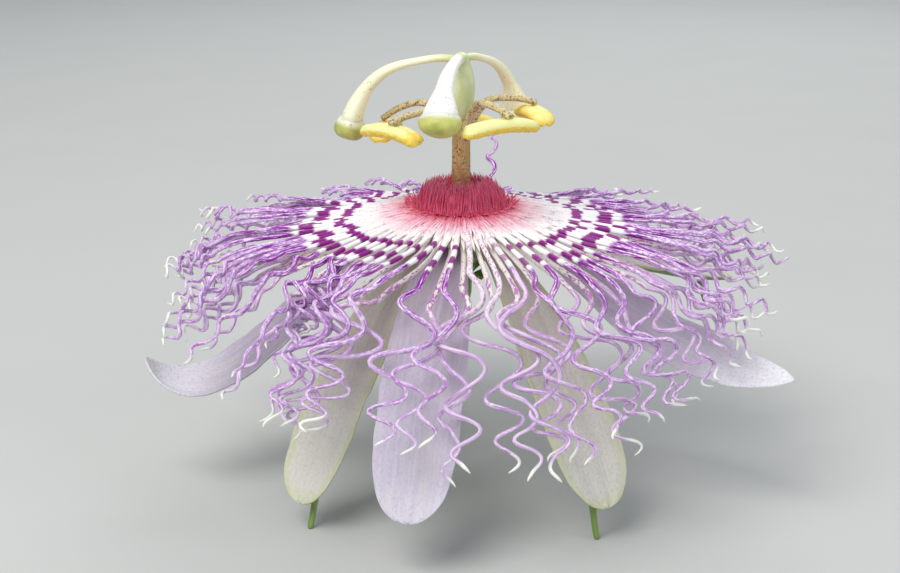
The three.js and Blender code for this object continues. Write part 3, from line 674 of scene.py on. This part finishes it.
def awn(spec, stands):
    """The green horn on a sepal's back: a tapering tube down from the keel, to the surface if it stands."""
    distance, height = blade_centre(spec, SEPAL_ROOT_HEIGHT)
    at = round(0.9 * CENTRE_STEPS)
    start, end = KEEL_HEIGHT, HUB[2] + height[at] if stands else 4.2
    t = np.array([0.0, 0.2, 0.45, 0.7, 0.9, 1.0])
    fall = start + (end - start) * t
    controls = polar(distance[at] - 0.7 + 1.1 * t * t, spec["azimuth"], height[at] - fall)
    path = curve_points(controls, 26)[None]
    share = np.linspace(0, 1, path.shape[1])[None]
    size = 0.34 * (1 - share) ** 1.5 + 0.30 + 0.04 * np.sin(9 * share)
    size = size * np.sqrt(np.maximum(1 - (np.maximum(0, share - 0.93) / 0.09) ** 2, 0.05))
    return tubes(path, size, size, 12, back=1.0, along=0.9)


PETAL_SKIN, SEPAL_SKIN, GREEN_SKIN = petal_finish(), sepal_finish(), green_finish()
for number, spec in enumerate(PETALS, 1):
    leaf = blade(spec, PETAL_ROOT_HEIGHT, PETAL_THICKNESS, number)
    add_piece(f"petal_skin_{number}", [leaf], PETAL_SKIN, [f"petal_{number}"])
for number, spec in enumerate(SEPALS, 1):
    leaf = blade(spec, SEPAL_ROOT_HEIGHT, SEPAL_THICKNESS, number + 10, keel=KEEL_HEIGHT)
    horn = awn(spec, number in STANDING_SEPALS)
    add_piece(f"sepal_skin_{number}", [leaf, horn], SEPAL_SKIN, [f"sepal_{number}"])

# -------------------- corona
# The blades that filaments can lie on: their sizes, middle line and the blunt end of their outline
BLADES = [(spec, *blade_centre(spec, PETAL_ROOT_HEIGHT), 0.6) for spec in PETALS]
BLADES += [(spec, *blade_centre(spec, SEPAL_ROOT_HEIGHT), 0.48) for spec in SEPALS]


def lift_off_blades(points):
    """Raises the points of filaments that would dip into a petal or sepal until they lie on it.

    A blade's outline narrows here from 0.72 of its length to its blunt end, and the lift fades over 2 mm
    beyond its margins and its tip.
    """
    for spec, line, heights, blunt in BLADES:
        distance = points @ outwards(spec["azimuth"])
        side = points @ outwards(spec["azimuth"] + 90)
        share = np.interp(distance, line, CENTRE_SHARES)
        tip = np.maximum(0, (share - 0.72) / 0.28)
        half = full_half_width(spec, share) * np.sqrt(1 - (1 - blunt * blunt) * tip**2.2)
        slope = np.radians(along_list(spec["slopes"], share))
        within = np.clip(side, -half, half)
        rise = spec["cup"] * within**2 / half + within * np.sin(np.radians(spec["roll"] * share))
        over = 1 - ramp(np.abs(side), half + 0.5, half + 2.5)
        reached = np.interp(distance, line, line)
        before = 1 - ramp(distance, reached + 0.6, reached + 2.6)
        surface = np.interp(share, CENTRE_SHARES, heights) + (rise + REST_HEIGHT) / np.cos(slope)
        points[..., 2] += np.maximum(0, surface - points[..., 2]) * over * before * (distance > 0)
    return points


def straight_to(azimuth, row):
    """How far from the axis the long filaments stay straight: furthest on the left, least in front."""
    raised = 4.0 * row["stands"] * near(azimuth, STANDING_FILAMENT, 3)
    return row["level"] + bells(azimuth, row["level_bells"]) - raised


def droop_at(azimuth, row):
    """How steeply they hang past their straight stretch, in degrees: most in front, least behind."""
    held = 55 * row["stands"] * near(azimuth, STANDING_FILAMENT, 2)
    hang = 40 * ramp(np.cos(np.radians(azimuth + 8)), -0.3, 0.85)
    return 13 + hang - 15 * near(azimuth, KNOT - 18, 14) - held


def reach_of(azimuth, front, row, draw):
    """How long they are: longest in front, shorter on the left, and some cut short at the knot."""
    reach = row["reach"] + 1.6 * draw(2) + FRONT_REACH * ramp(front, 0, 0.9)
    reach = reach + bells(azimuth, [(2.5, 14, 18), (-2.6, -95, 40)])
    reach = reach - 8.5 * near(azimuth, KNOT - 2, 11) * ramp(draw(15), -0.35, 0.0)
    return reach - 4.0 * row["stands"] * near(azimuth, STANDING_FILAMENT, 2)


def turned_in(azimuth, share, ahead, draw):
    """How far they turn aside, in degrees: to bunches, by a sine with overtones, and to the knot."""
    phase = np.radians(17 * azimuth + 25) + 0.8 * np.sin(np.radians(3 * azimuth))
    pull = np.sin(phase) - 0.42 * np.sin(2 * phase) + 0.18 * np.sin(3 * phase)
    bunch = (1 - 0.6 * ahead) * -4.2 * pull + 0.4 * draw(8) + 2.5 * near(azimuth, STANDING_FILAMENT - 1.5, 4)
    to_knot = -0.75 * (azimuth - KNOT + 2) * near(azimuth, KNOT + 14, 17)
    return bunch * ramp(share, 0.22, 0.6) + to_knot * ramp(share, 0.12, 0.75)


def crimps(azimuth, share, reach, straight, front, ahead, draw):
    """How far the crimps take each point sideways, up and along its filament.

    A crimp swings sideways as a sine of a phase that runs faster towards the tip, rises as its cosine, and
    slides back at twice the pace, which makes it meander. Neighbours share most of the phase. Crimps are
    widest in front and shrink to the tip. At the knot a helix is added half way along.
    """
    crimped_from = straight + (0.5 + 1.0 * ahead) / reach
    loose = np.maximum(0, (share - crimped_from) / (1 - crimped_from))
    shared = 2.2 * np.sin(np.radians(2 * azimuth + 40)) + 1.3 * np.sin(np.radians(5 * azimuth))
    turns = (1.1 - 0.35 * ahead) * loose + (1.9 + 0.35 * ahead) * loose**2
    wave = shared + 1.4 * draw(5) + 2 * np.pi * turns * (1 + 0.15 * draw(10))
    tangle = near(azimuth, KNOT, 14)
    behind = 0.6 + 0.4 * ramp(front, -0.8, 0.0)
    widest = (0.85 + 2.4 * ahead - 1.3 * tangle) * (1 + 0.3 * draw(6)) * behind
    size = widest * ramp(loose, 0, 0.2) * (1 - (0.2 + 0.55 * ahead) * loose)
    swing = size * (np.sin(wave) - 0.1 * np.sin(3 * wave) + 0.18 * np.sin(1.7 * wave + 3 * draw(9)))
    lift = size * ((0.7 - 0.4 * ahead) * np.cos(wave + 0.8 * draw(7)) + 0.25 * draw(7))
    slide = -0.11 * size * np.sin(2 * wave)
    coiled = 1.3 * tangle * near(reach * share, 18.5 + 2.0 * draw(11), 3.0)
    coil = 2 * np.pi * reach * share / (3.6 + 0.8 * draw(12)) + 3 * draw(13)
    back_and_forth = 0.7 * coiled * np.cos(0.5 * coil + draw(14))
    return swing + coiled * np.sin(coil), lift + coiled * np.cos(coil), slide + back_and_forth


def filament_paths(row, rows):
    """The paths of a row of long filaments: straight out from the ring, then drooping, bunched and crimped.

    The slope goes smoothly from the row's own to the droop, and distance and height are running means of its
    cos and sin. Returns the points (filament, row, xyz) and the run of each from the axis.
    """
    index = np.arange(row["count"])

    def draw(stream):
        return scatter(index + 1, row["stream"] * 10 + stream)[:, None]

    share = np.linspace(0, 1, rows)[None]
    even = 360 / row["count"] * (index[:, None] + 0.5 * (row["stream"] - 1) + 0.13 * draw(1)) - 180
    azimuth = even + 7 * np.sin(np.radians(2 * (even - 10)))
    front = np.cos(np.radians(azimuth + 4))
    ahead = ramp(front, 0.3, 0.92) * (1 - 0.75 * near(azimuth, KNOT - 14, 15))
    reach = reach_of(azimuth, front, row, draw)
    straight = (straight_to(azimuth, row) + 1.2 * draw(3) - ROOT_RADIUS) / reach
    droop = droop_at(azimuth, row) + 6 * draw(4)

    parts = (np.arange(24) + 0.5) / 24
    bend_start, bend_end = (straight * 0.82)[..., None], (straight + 0.3 * (1 - straight))[..., None]
    bent = ramp(share[..., None] * parts, bend_start, bend_end)
    slope = np.radians(row["slope"] + (droop[..., None] - row["slope"]) * bent)
    distance = ROOT_RADIUS + reach * share * np.cos(slope).mean(-1)
    height = row["root"] - reach * share * np.sin(slope).mean(-1)

    swing, lift, slide = crimps(azimuth, share, reach, straight, front, ahead, draw)
    level = 0.9 * (1 - ahead) * np.sin(np.radians(8.5 * azimuth)) * ramp(share, 0.3, 0.8)
    tilt = slope[..., -1]
    distance = distance + lift * np.sin(tilt) + slide * np.cos(tilt)
    height = height + lift * np.cos(tilt) - slide * np.sin(tilt) + level
    points = polar(distance, azimuth + turned_in(azimuth, share, ahead, draw), height)
    points = points + outwards(azimuth + 90) * swing[..., None]
    return lift_off_blades(points), ROOT_RADIUS + reach * share


def long_row(name, row, finish):
    """A row of long filaments: tubes a little wider than high that narrow to a round tip."""
    rows = 132
    paths, run = filament_paths(row, rows)
    share = np.linspace(0, 1, rows)[None]
    own = scatter(np.arange(row["count"]) + 1, row["stream"] + 60)[:, None]
    size = 0.44 - 0.13 * ramp(run, 9.5, 12.5) - 0.02 * ramp(run, 20, 26) - 0.10 * ramp(share, 0.72, 0.98)
    rounding = np.sqrt(np.maximum(1 - ramp(share, 0.975, 1.0) ** 2 * 0.9, 0.02))
    size = size * rounding * (1 + 0.1 * own) * (1 + 0.05 * np.sin(run * 2.3 + 9 * own))
    heading = np.degrees(np.arctan2(paths[:, 0, 0], -paths[:, 0, 1]))[:, None, None]
    pale = bells(heading, [(1.0, 8, 7), (0.35, 24, 14)])
    filaments = tubes(paths, size, size * 0.84, 8, run=run[..., None], pale=pale)
    add_piece(name, [filaments], finish, ["corona"])


long_row("upper_filaments", UPPER_ROW, long_filament_finish())
long_row("lower_filaments", LOWER_ROW, under_filament_finish())


def bristles(count, roots, tips, bow, size, taper, stream):
    """A ring of short filaments, each a quadratic curve from its root to its tip.

    Roots are given as distance, height and scatter of the distance, and tips as distance, height, and scatter
    of the distance, the height and the azimuth. The bow moves the middles outwards and up, and the size falls
    to the tip by the taper's power.
    """
    rows, sides = 6, 5
    index = np.arange(count)

    def draw(k):
        return scatter(index + 1, stream + k)

    azimuth = 360 / count * (index + 0.35 * draw(1))
    root = polar(roots[0] + roots[2] * draw(2), azimuth, np.full(count, roots[1]))
    tip = polar(tips[0] + tips[2] * draw(3), azimuth + tips[4] * draw(4), tips[1] + tips[3] * draw(5))
    middle = (root + tip) / 2 + outwards(azimuth) * bow[0] * (1 + 0.4 * draw(6))[:, None]
    middle[:, 2] += bow[1]
    t = np.linspace(0, 1, rows)[None, :, None]
    paths = (1 - t) ** 2 * root[:, None] + 2 * t * (1 - t) * middle[:, None] + t * t * tip[:, None]
    thick = size * (1 - np.linspace(0, 1, rows) ** taper * 0.85)[None] * (1 + 0.15 * draw(7))[:, None]
    return tubes(paths, thick, thick, sides)


WHITE_ROWS = [
    (150, (6.4, -0.44, 0.3), (10.2, -1.04, 0.7, 0.04, 0.8), (0.0, 0.06), 0.22, 4.0, 100),
    (230, (7.6, -0.72, 0.5), (11.6, -1.42, 0.6, 0.06, 0.8), (0.0, 0.04), 0.23, 5.0, 120),
    (150, (5.8, -0.32, 0.2), (8.8, -0.66, 0.8, 0.08, 1.2), (0.0, 0.08), 0.17, 3.0, 140),
    (150, (8.6, -1.22, 0.3), (12.9, -2.15, 0.9, 0.12, 1.0), (0.0, 0.04), 0.25, 4.0, 160),
]
PINK_ROWS = [
    (170, (5.1, -0.45, 0.12), (6.6, -0.02, 0.4, 0.20, 2.5), (0.1, 0.20), 0.115, 2.0, 200),
    (170, (5.3, -0.5, 0.15), (7.3, -0.30, 0.6, 0.12, 2.5), (0.1, 0.20), 0.115, 2.0, 220),
    (170, (5.5, -0.5, 0.15), (8.3, -0.58, 0.8, 0.08, 2.5), (0.1, 0.16), 0.115, 2.0, 240),
]
CRIMSON_ROWS = [
    (90, (5.7, -0.6, 0.35), (6.5, 0.65, 0.45, 0.30, 4.0), (0.12, 0.0), 0.105, 2.5, 260),
    (210, (5.4, -0.6, 0.15), (5.35, 0.35, 0.35, 0.35, 3.0), (0.05, 0.0), 0.105, 3.0, 280),
    (200, (5.1, -0.6, 0.15), (4.6, 1.30, 0.35, 0.50, 3.0), (0.15, 0.0), 0.105, 3.0, 290),
    (200, (4.9, -0.6, 0.10), (4.15, 2.05, 0.35, 0.50, 3.0), (0.28, 0.0), 0.105, 3.0, 300),
    (180, (4.6, -0.4, 0.10), (3.75, 2.50, 0.35, 0.45, 3.5), (0.32, 0.0), 0.10, 3.0, 320),
    (160, (4.1, 0.2, 0.10), (3.20, 2.80, 0.35, 0.40, 4.0), (0.28, 0.0), 0.10, 3.0, 340),
    (130, (3.4, 0.8, 0.10), (2.50, 2.80, 0.30, 0.38, 4.0), (0.22, 0.0), 0.10, 3.0, 360),
    (90, (2.6, 1.2, 0.08), (1.95, 2.45, 0.2, 0.30, 4.0), (0.12, 0.0), 0.10, 3.0, 380),
]
DISC_PROFILE = [
    (4.9, -1.9), (6.2, -2.1), (8.6, -2.3), (9.4, -1.9), (9.7, -1.35), (9.0, -1.1), (7.0, -0.75), (5.8, -0.6),
    (4.9, -0.6),
]
CORE_PROFILE = [
    (1.5, -1.2), (4.7, -1.2), (4.8, -0.3), (4.6, 0.9), (4.0, 1.8), (3.2, 2.1), (2.2, 1.9), (1.5, 1.0),
]
DISC_SKIN = disc_finish()
white_rows = [bristles(*sizes) for sizes in WHITE_ROWS]
white_rows.append(Grid(turned(DISC_PROFILE, 120, 60), share=0.4))
add_piece("white_filaments", white_rows, DISC_SKIN, ["corona"])
add_piece("pink_filaments", [bristles(*sizes) for sizes in PINK_ROWS], DISC_SKIN, ["pink_row"])
core = turned(CORE_PROFILE, 64, 28)
crimson_rows = [bristles(*sizes) for sizes in CRIMSON_ROWS]
crimson_rows.append(Grid(core, share=0.5, flow=core * 6.0))
add_piece("crimson_filaments", crimson_rows, crimson_finish(), ["crimson_fringe"])

# -------------------- cup, stem and bracts
CUP_PROFILE = [
    (0.05, -7.25), (1.4, -7.2), (2.1, -6.5), (3.7, -5.3), (4.9, -3.9), (5.35, -2.6), (5.4, -1.9), (5.0, -1.5),
    (3.0, -1.45), (0.05, -1.45),
]
cup = turned(CUP_PROFILE, 80, 60, lobes=0.012, lobe_count=10)
add_piece("cup_skin", [Grid(cup)], GREEN_SKIN, ["floral_cup"])

STEM_TOP, STEM_DROP, STEM_LEAN = -7.1, 17.35, (-3.2, 1.4)
share = np.linspace(0, 1, 40)
stem_path = np.stack([STEM_LEAN[0] * share**2, STEM_LEAN[1] * share**2, STEM_TOP - STEM_DROP * share], -1)
collar = 0.5 * np.exp(-((share / 0.04) ** 2))
stem_size = (1.28 - 0.3 * share + collar + 0.03 * np.sin(25 * share))[None]
add_piece("stem_skin", [tubes(stem_path[None], stem_size, stem_size, 20)], GREEN_SKIN, ["stem"])


def bract(azimuth):
    """A small keeled leaf: its middle is a parabola, its section a flattened loop with raised margins."""
    length, thickness = 6, 0.44
    share = np.linspace(0, 1, 30)[:, None]
    angle = round_angles(24)[None]
    half = 1.3 * (0.35 + 0.65 * np.sin(np.pi * np.minimum(1, share * 0.9 + 0.05)))
    half = half * np.sqrt(np.maximum(1 - np.maximum(0, (share - 0.8) / 0.2) ** 2.5, 0)) + 0.02
    side = np.cos(angle) * half
    face = flattened(angle, 0.5)
    distance = 1.3 + length * share * (0.82 - 0.12 * share) + 0 * angle
    height = -8.8 + length * (0.5 * share - 0.3 * share**2) + np.abs(side) * 0.5 + face * thickness / 2
    return Grid((polar(distance, azimuth, height) + outwards(azimuth + 90) * side[..., None])[None])


for number in range(1, 4):
    leaf = bract(120.0 * number - 95)
    add_piece(f"bract_skin_{number}", [leaf], GREEN_SKIN, [f"bract_{number}"])

# -------------------- column, ovary, styles and stamens
COLUMN_SKIN = speckled_finish("column", pale=(0.46, 0.34, 0.12), warm=(0.40, 0.12, 0.07),
                              speck=(0.26, 0.035, 0.02), low=HUB[2] + 1, high=HUB[2] + 7, amount=0.08)
ARM_SKIN = speckled_finish("stamen arm", pale=(0.64, 0.54, 0.28), warm=(0.58, 0.48, 0.24),
                           speck=(0.17, 0.08, 0.05), low=HUB[2], high=HUB[2] + 4, amount=0.10)
COLUMN_PROFILE = [
    (0.1, -1.25), (1.3, -1.25), (1.22, 0.5), (1.1, 2.5), (1.05, 5.0), (1.04, 8.2), (1.16, 9.0), (1.3, 9.45),
    (1.1, 9.75), (0.1, 9.8),
]
OVARY_PROFILE = [
    (0.05, 9.6), (0.75, 9.7), (0.95, 10.2), (1.3, 11.1), (1.5, 12.4), (1.52, 13.6), (1.36, 14.9),
    (1.05, 16.0), (0.85, 16.6), (0.7, 17.1), (0.05, 17.35),
]
column = turned(COLUMN_PROFILE, 48, 70, lobes=0.03, lobe_count=5)
add_piece("column_skin", [Grid(column)], COLUMN_SKIN, ["column"])
ovary = turned(OVARY_PROFILE, 48, 60, lobes=0.045)
add_piece("ovary_skin", [Grid(ovary)], ovary_finish(), ["ovary"])


def style_path(spec):
    """The middle line of a style, from its spring on the crown to the middle of its stigma."""
    out, down = np.array(STYLE_PATH).T
    distance = spec["reach"] * out * (1 - spec["bend"] * np.sin(np.pi * out))
    height = STYLE_SPRING + (spec["head"] - STYLE_SPRING) * down
    return curve_points(polar(distance, spec["azimuth"], height), 70)


def stigma(path, spec):
    """A broad bulb round the style's end: an ellipsoid, fuller below, with a faint dent along its foot."""
    half_width, half_depth, half_length = 2.35, 1.6, 1.5
    ahead = unit(path[-1] - path[-6])
    wide = outwards(spec["azimuth"] + 90)
    deep = unit(np.cross(ahead, wide))
    t = np.linspace(0, np.pi, 40)[:, None]
    angle = round_angles(44)[None]
    belly = np.sin(t) ** 0.75 * (1 - 0.12 * np.cos(t))
    x = belly * np.cos(angle)
    y = belly * np.sin(angle) * (1 - 0.10 * np.cos(angle * 2))
    z = -half_length * np.cos(t) - 0.25 * x**2 + 0.12 * np.abs(y)
    points = path[-1] + half_width * x[..., None] * wide + half_depth * y[..., None] * deep
    points = points + (z + 0.1)[..., None] * ahead
    ripe = ramp(z, -1.3, 0.7)
    return Grid(points[None, :, ::-1], share=1.0, ripe=ripe[None, :, ::-1], cream=spec["cream"])


STYLE_SKIN = style_finish()
for number, spec in enumerate(STYLES, 1):
    path = style_path(spec)
    share = np.linspace(0, 1, len(path))[None]
    neck = 0.5 + spec["stout"] + (0.5 - 0.5 * spec["stout"]) * ramp(share, 0.25, 0.85)
    flare = ramp(share, 0.68, 1.0)
    ripe = 0.35 * ramp(share, 0.86, 1.0)[..., None]
    shaft = tubes(path[None], neck + flare, neck * 0.85 + 0.4 * flare, 24, ripe=ripe, cream=spec["cream"])
    add_piece(f"style_skin_{number}", [shaft, stigma(path, spec)], STYLE_SKIN, [f"style_{number}"])


def arm_path(spec):
    """The middle line of a stamen's arm, arching from the top of the column to lie on the anther's back."""
    start, height = COLUMN_RADIUS + 0.1, spec["height"]
    top, far = max(height, COLUMN_HEIGHT + 1.2), max(height, COLUMN_HEIGHT + 0.6)
    arch = [(0, COLUMN_HEIGHT - 0.9), (0.08, COLUMN_HEIGHT + 0.5), (0.28, top + 0.2), (0.52, top + 0.4),
            (0.8, far + 0.2), (1.04, height - 0.3)]
    out, up = np.array(arch).T
    return curve_points(polar(start + (spec["reach"] - start) * out, spec["azimuth"], up), 40)


def anther(spec, stream):
    """An oblong anther: rows along it, columns round an oval section with a groove along the back.

    Its ends close by a 9th power, and it hangs as a parabola. The fact called under is how much pollen shows.
    """
    along = outwards(spec["azimuth"] + 90 + spec["turn"])
    across = outwards(spec["azimuth"] + spec["turn"])
    middle = polar(spec["reach"] - 0.2, spec["azimuth"], spec["height"] - 1.28) + along * spec["slide"]
    t = np.sin(np.linspace(-np.pi / 2, np.pi / 2, 80))[:, None]
    angle = round_angles(40)[None]
    full = (1 - np.abs(t) ** 9) ** 0.4 + 0.01
    groove = 1 - 0.25 * np.exp(-((np.cos(angle) / 0.28) ** 2)) * np.where(np.sin(angle) > 0, 1, 1.5)
    curled = ramp(t, 0.35, 1.0) * spec["curl"]
    under = ramp(-np.sin(angle) + 0.35 * np.abs(np.cos(angle)) ** 6, 0.05, 0.55) + spec["gold"] + curled
    crumbs = 1 + 0.09 * smooth_noise(t * 60 + stream, angle * 9, stream) * np.minimum(under, 1)
    x = np.cos(angle) * full * 1.3 * crumbs
    z = np.sin(angle) * groove * full * 0.82 * crumbs - 0.5 * t * t - 0.4 * curled * np.sin(angle - 0.6) ** 2
    points = middle + along * (t * spec["length"] / 2 + 0 * angle)[..., None] + across * x[..., None]
    points[..., 2] += z
    return Grid(points[None, ::-1], under=under[None, ::-1])


ANTHER_SKIN = anther_finish()
for number, spec in enumerate(STAMENS, 1):
    path = arm_path(spec)
    share = np.linspace(0, 1, len(path))[None]
    arm = tubes(path[None], 0.60 - 0.12 * share, 0.44 - 0.08 * share, 16)
    add_piece(f"arm_skin_{number}", [arm], ARM_SKIN, [f"stamen_{number}"])
    add_piece(f"anther_skin_{number}", [anther(spec, number)], ANTHER_SKIN, [f"anther_{number}"])


# -------------------- floor, light and camera
def floor_finish():
    """Plain pale matt paper."""
    n = Nodes("pale floor")
    grain = n.noise(n.place(), 40)
    colour = n.mix(grain, (0.52, 0.53, 0.52), (0.55, 0.56, 0.55))
    return n.finish({"Base Color": colour, "Roughness": 0.85})


bpy.ops.mesh.primitive_plane_add(size=6)
floor = bpy.context.object
floor.name = "floor"
floor.data.materials.append(floor_finish())

world = bpy.data.worlds.new("studio")
world.use_nodes = True
sky = world.node_tree.nodes["Background"]
sky.inputs["Color"].default_value = (0.80, 0.86, 0.90, 1)
sky.inputs["Strength"].default_value = 0.42
bpy.context.scene.world = world


def softbox(name, place, aim, size, power, colour=(1, 1, 1)):
    """A square area light of a size in metres, pointed at a place."""
    data = bpy.data.lights.new(name, "AREA")
    data.energy, data.color, data.size = power, colour, size
    light = bpy.data.objects.new(name, data)
    light.location = place
    light.rotation_euler = (Vector(aim) - Vector(place)).to_track_quat("-Z", "Y").to_euler()
    bpy.context.scene.collection.objects.link(light)


AIM = (0, 0, 0.025)
softbox("key", (-0.22, -0.30, 0.48), AIM, 0.35, 3.0, (1.0, 0.98, 0.95))
softbox("fill", (0.45, -0.30, 0.25), AIM, 0.45, 0.8, (0.93, 0.97, 1.0))
softbox("back", (0.10, 0.45, 0.40), AIM, 0.40, 1.2)

# Millimetres to the hub, millimetres in a pixel there, and the angle above level
DISTANCE, SCALE, ELEVATION = 190.0, 0.115, math.radians(16)
HUB_PIXEL, CENTRE_PIXEL, IMAGE_WIDTH, SENSOR_WIDTH = (461, 203), (450, 286.5), 900, 36
back = Vector((0, -math.cos(ELEVATION), math.sin(ELEVATION)))
up = Vector((0, math.sin(ELEVATION), math.cos(ELEVATION)))
right = Vector((1, 0, 0))
place = Vector(HUB) + back * DISTANCE
place -= right * (HUB_PIXEL[0] - CENTRE_PIXEL[0]) * SCALE
place -= up * (CENTRE_PIXEL[1] - HUB_PIXEL[1]) * SCALE
camera_data = bpy.data.cameras.new("camera")
camera_data.sensor_width = SENSOR_WIDTH
camera_data.lens = SENSOR_WIDTH * DISTANCE / SCALE / IMAGE_WIDTH
camera_data.clip_start = 0.001
camera = bpy.data.objects.new("camera", camera_data)
camera.matrix_world = Matrix.Translation(place / 1000) @ Matrix((right, up, back)).transposed().to_4x4()
bpy.context.scene.collection.objects.link(camera)
bpy.context.scene.camera = camera
bpy.context.scene.view_settings.view_transform = "Standard"
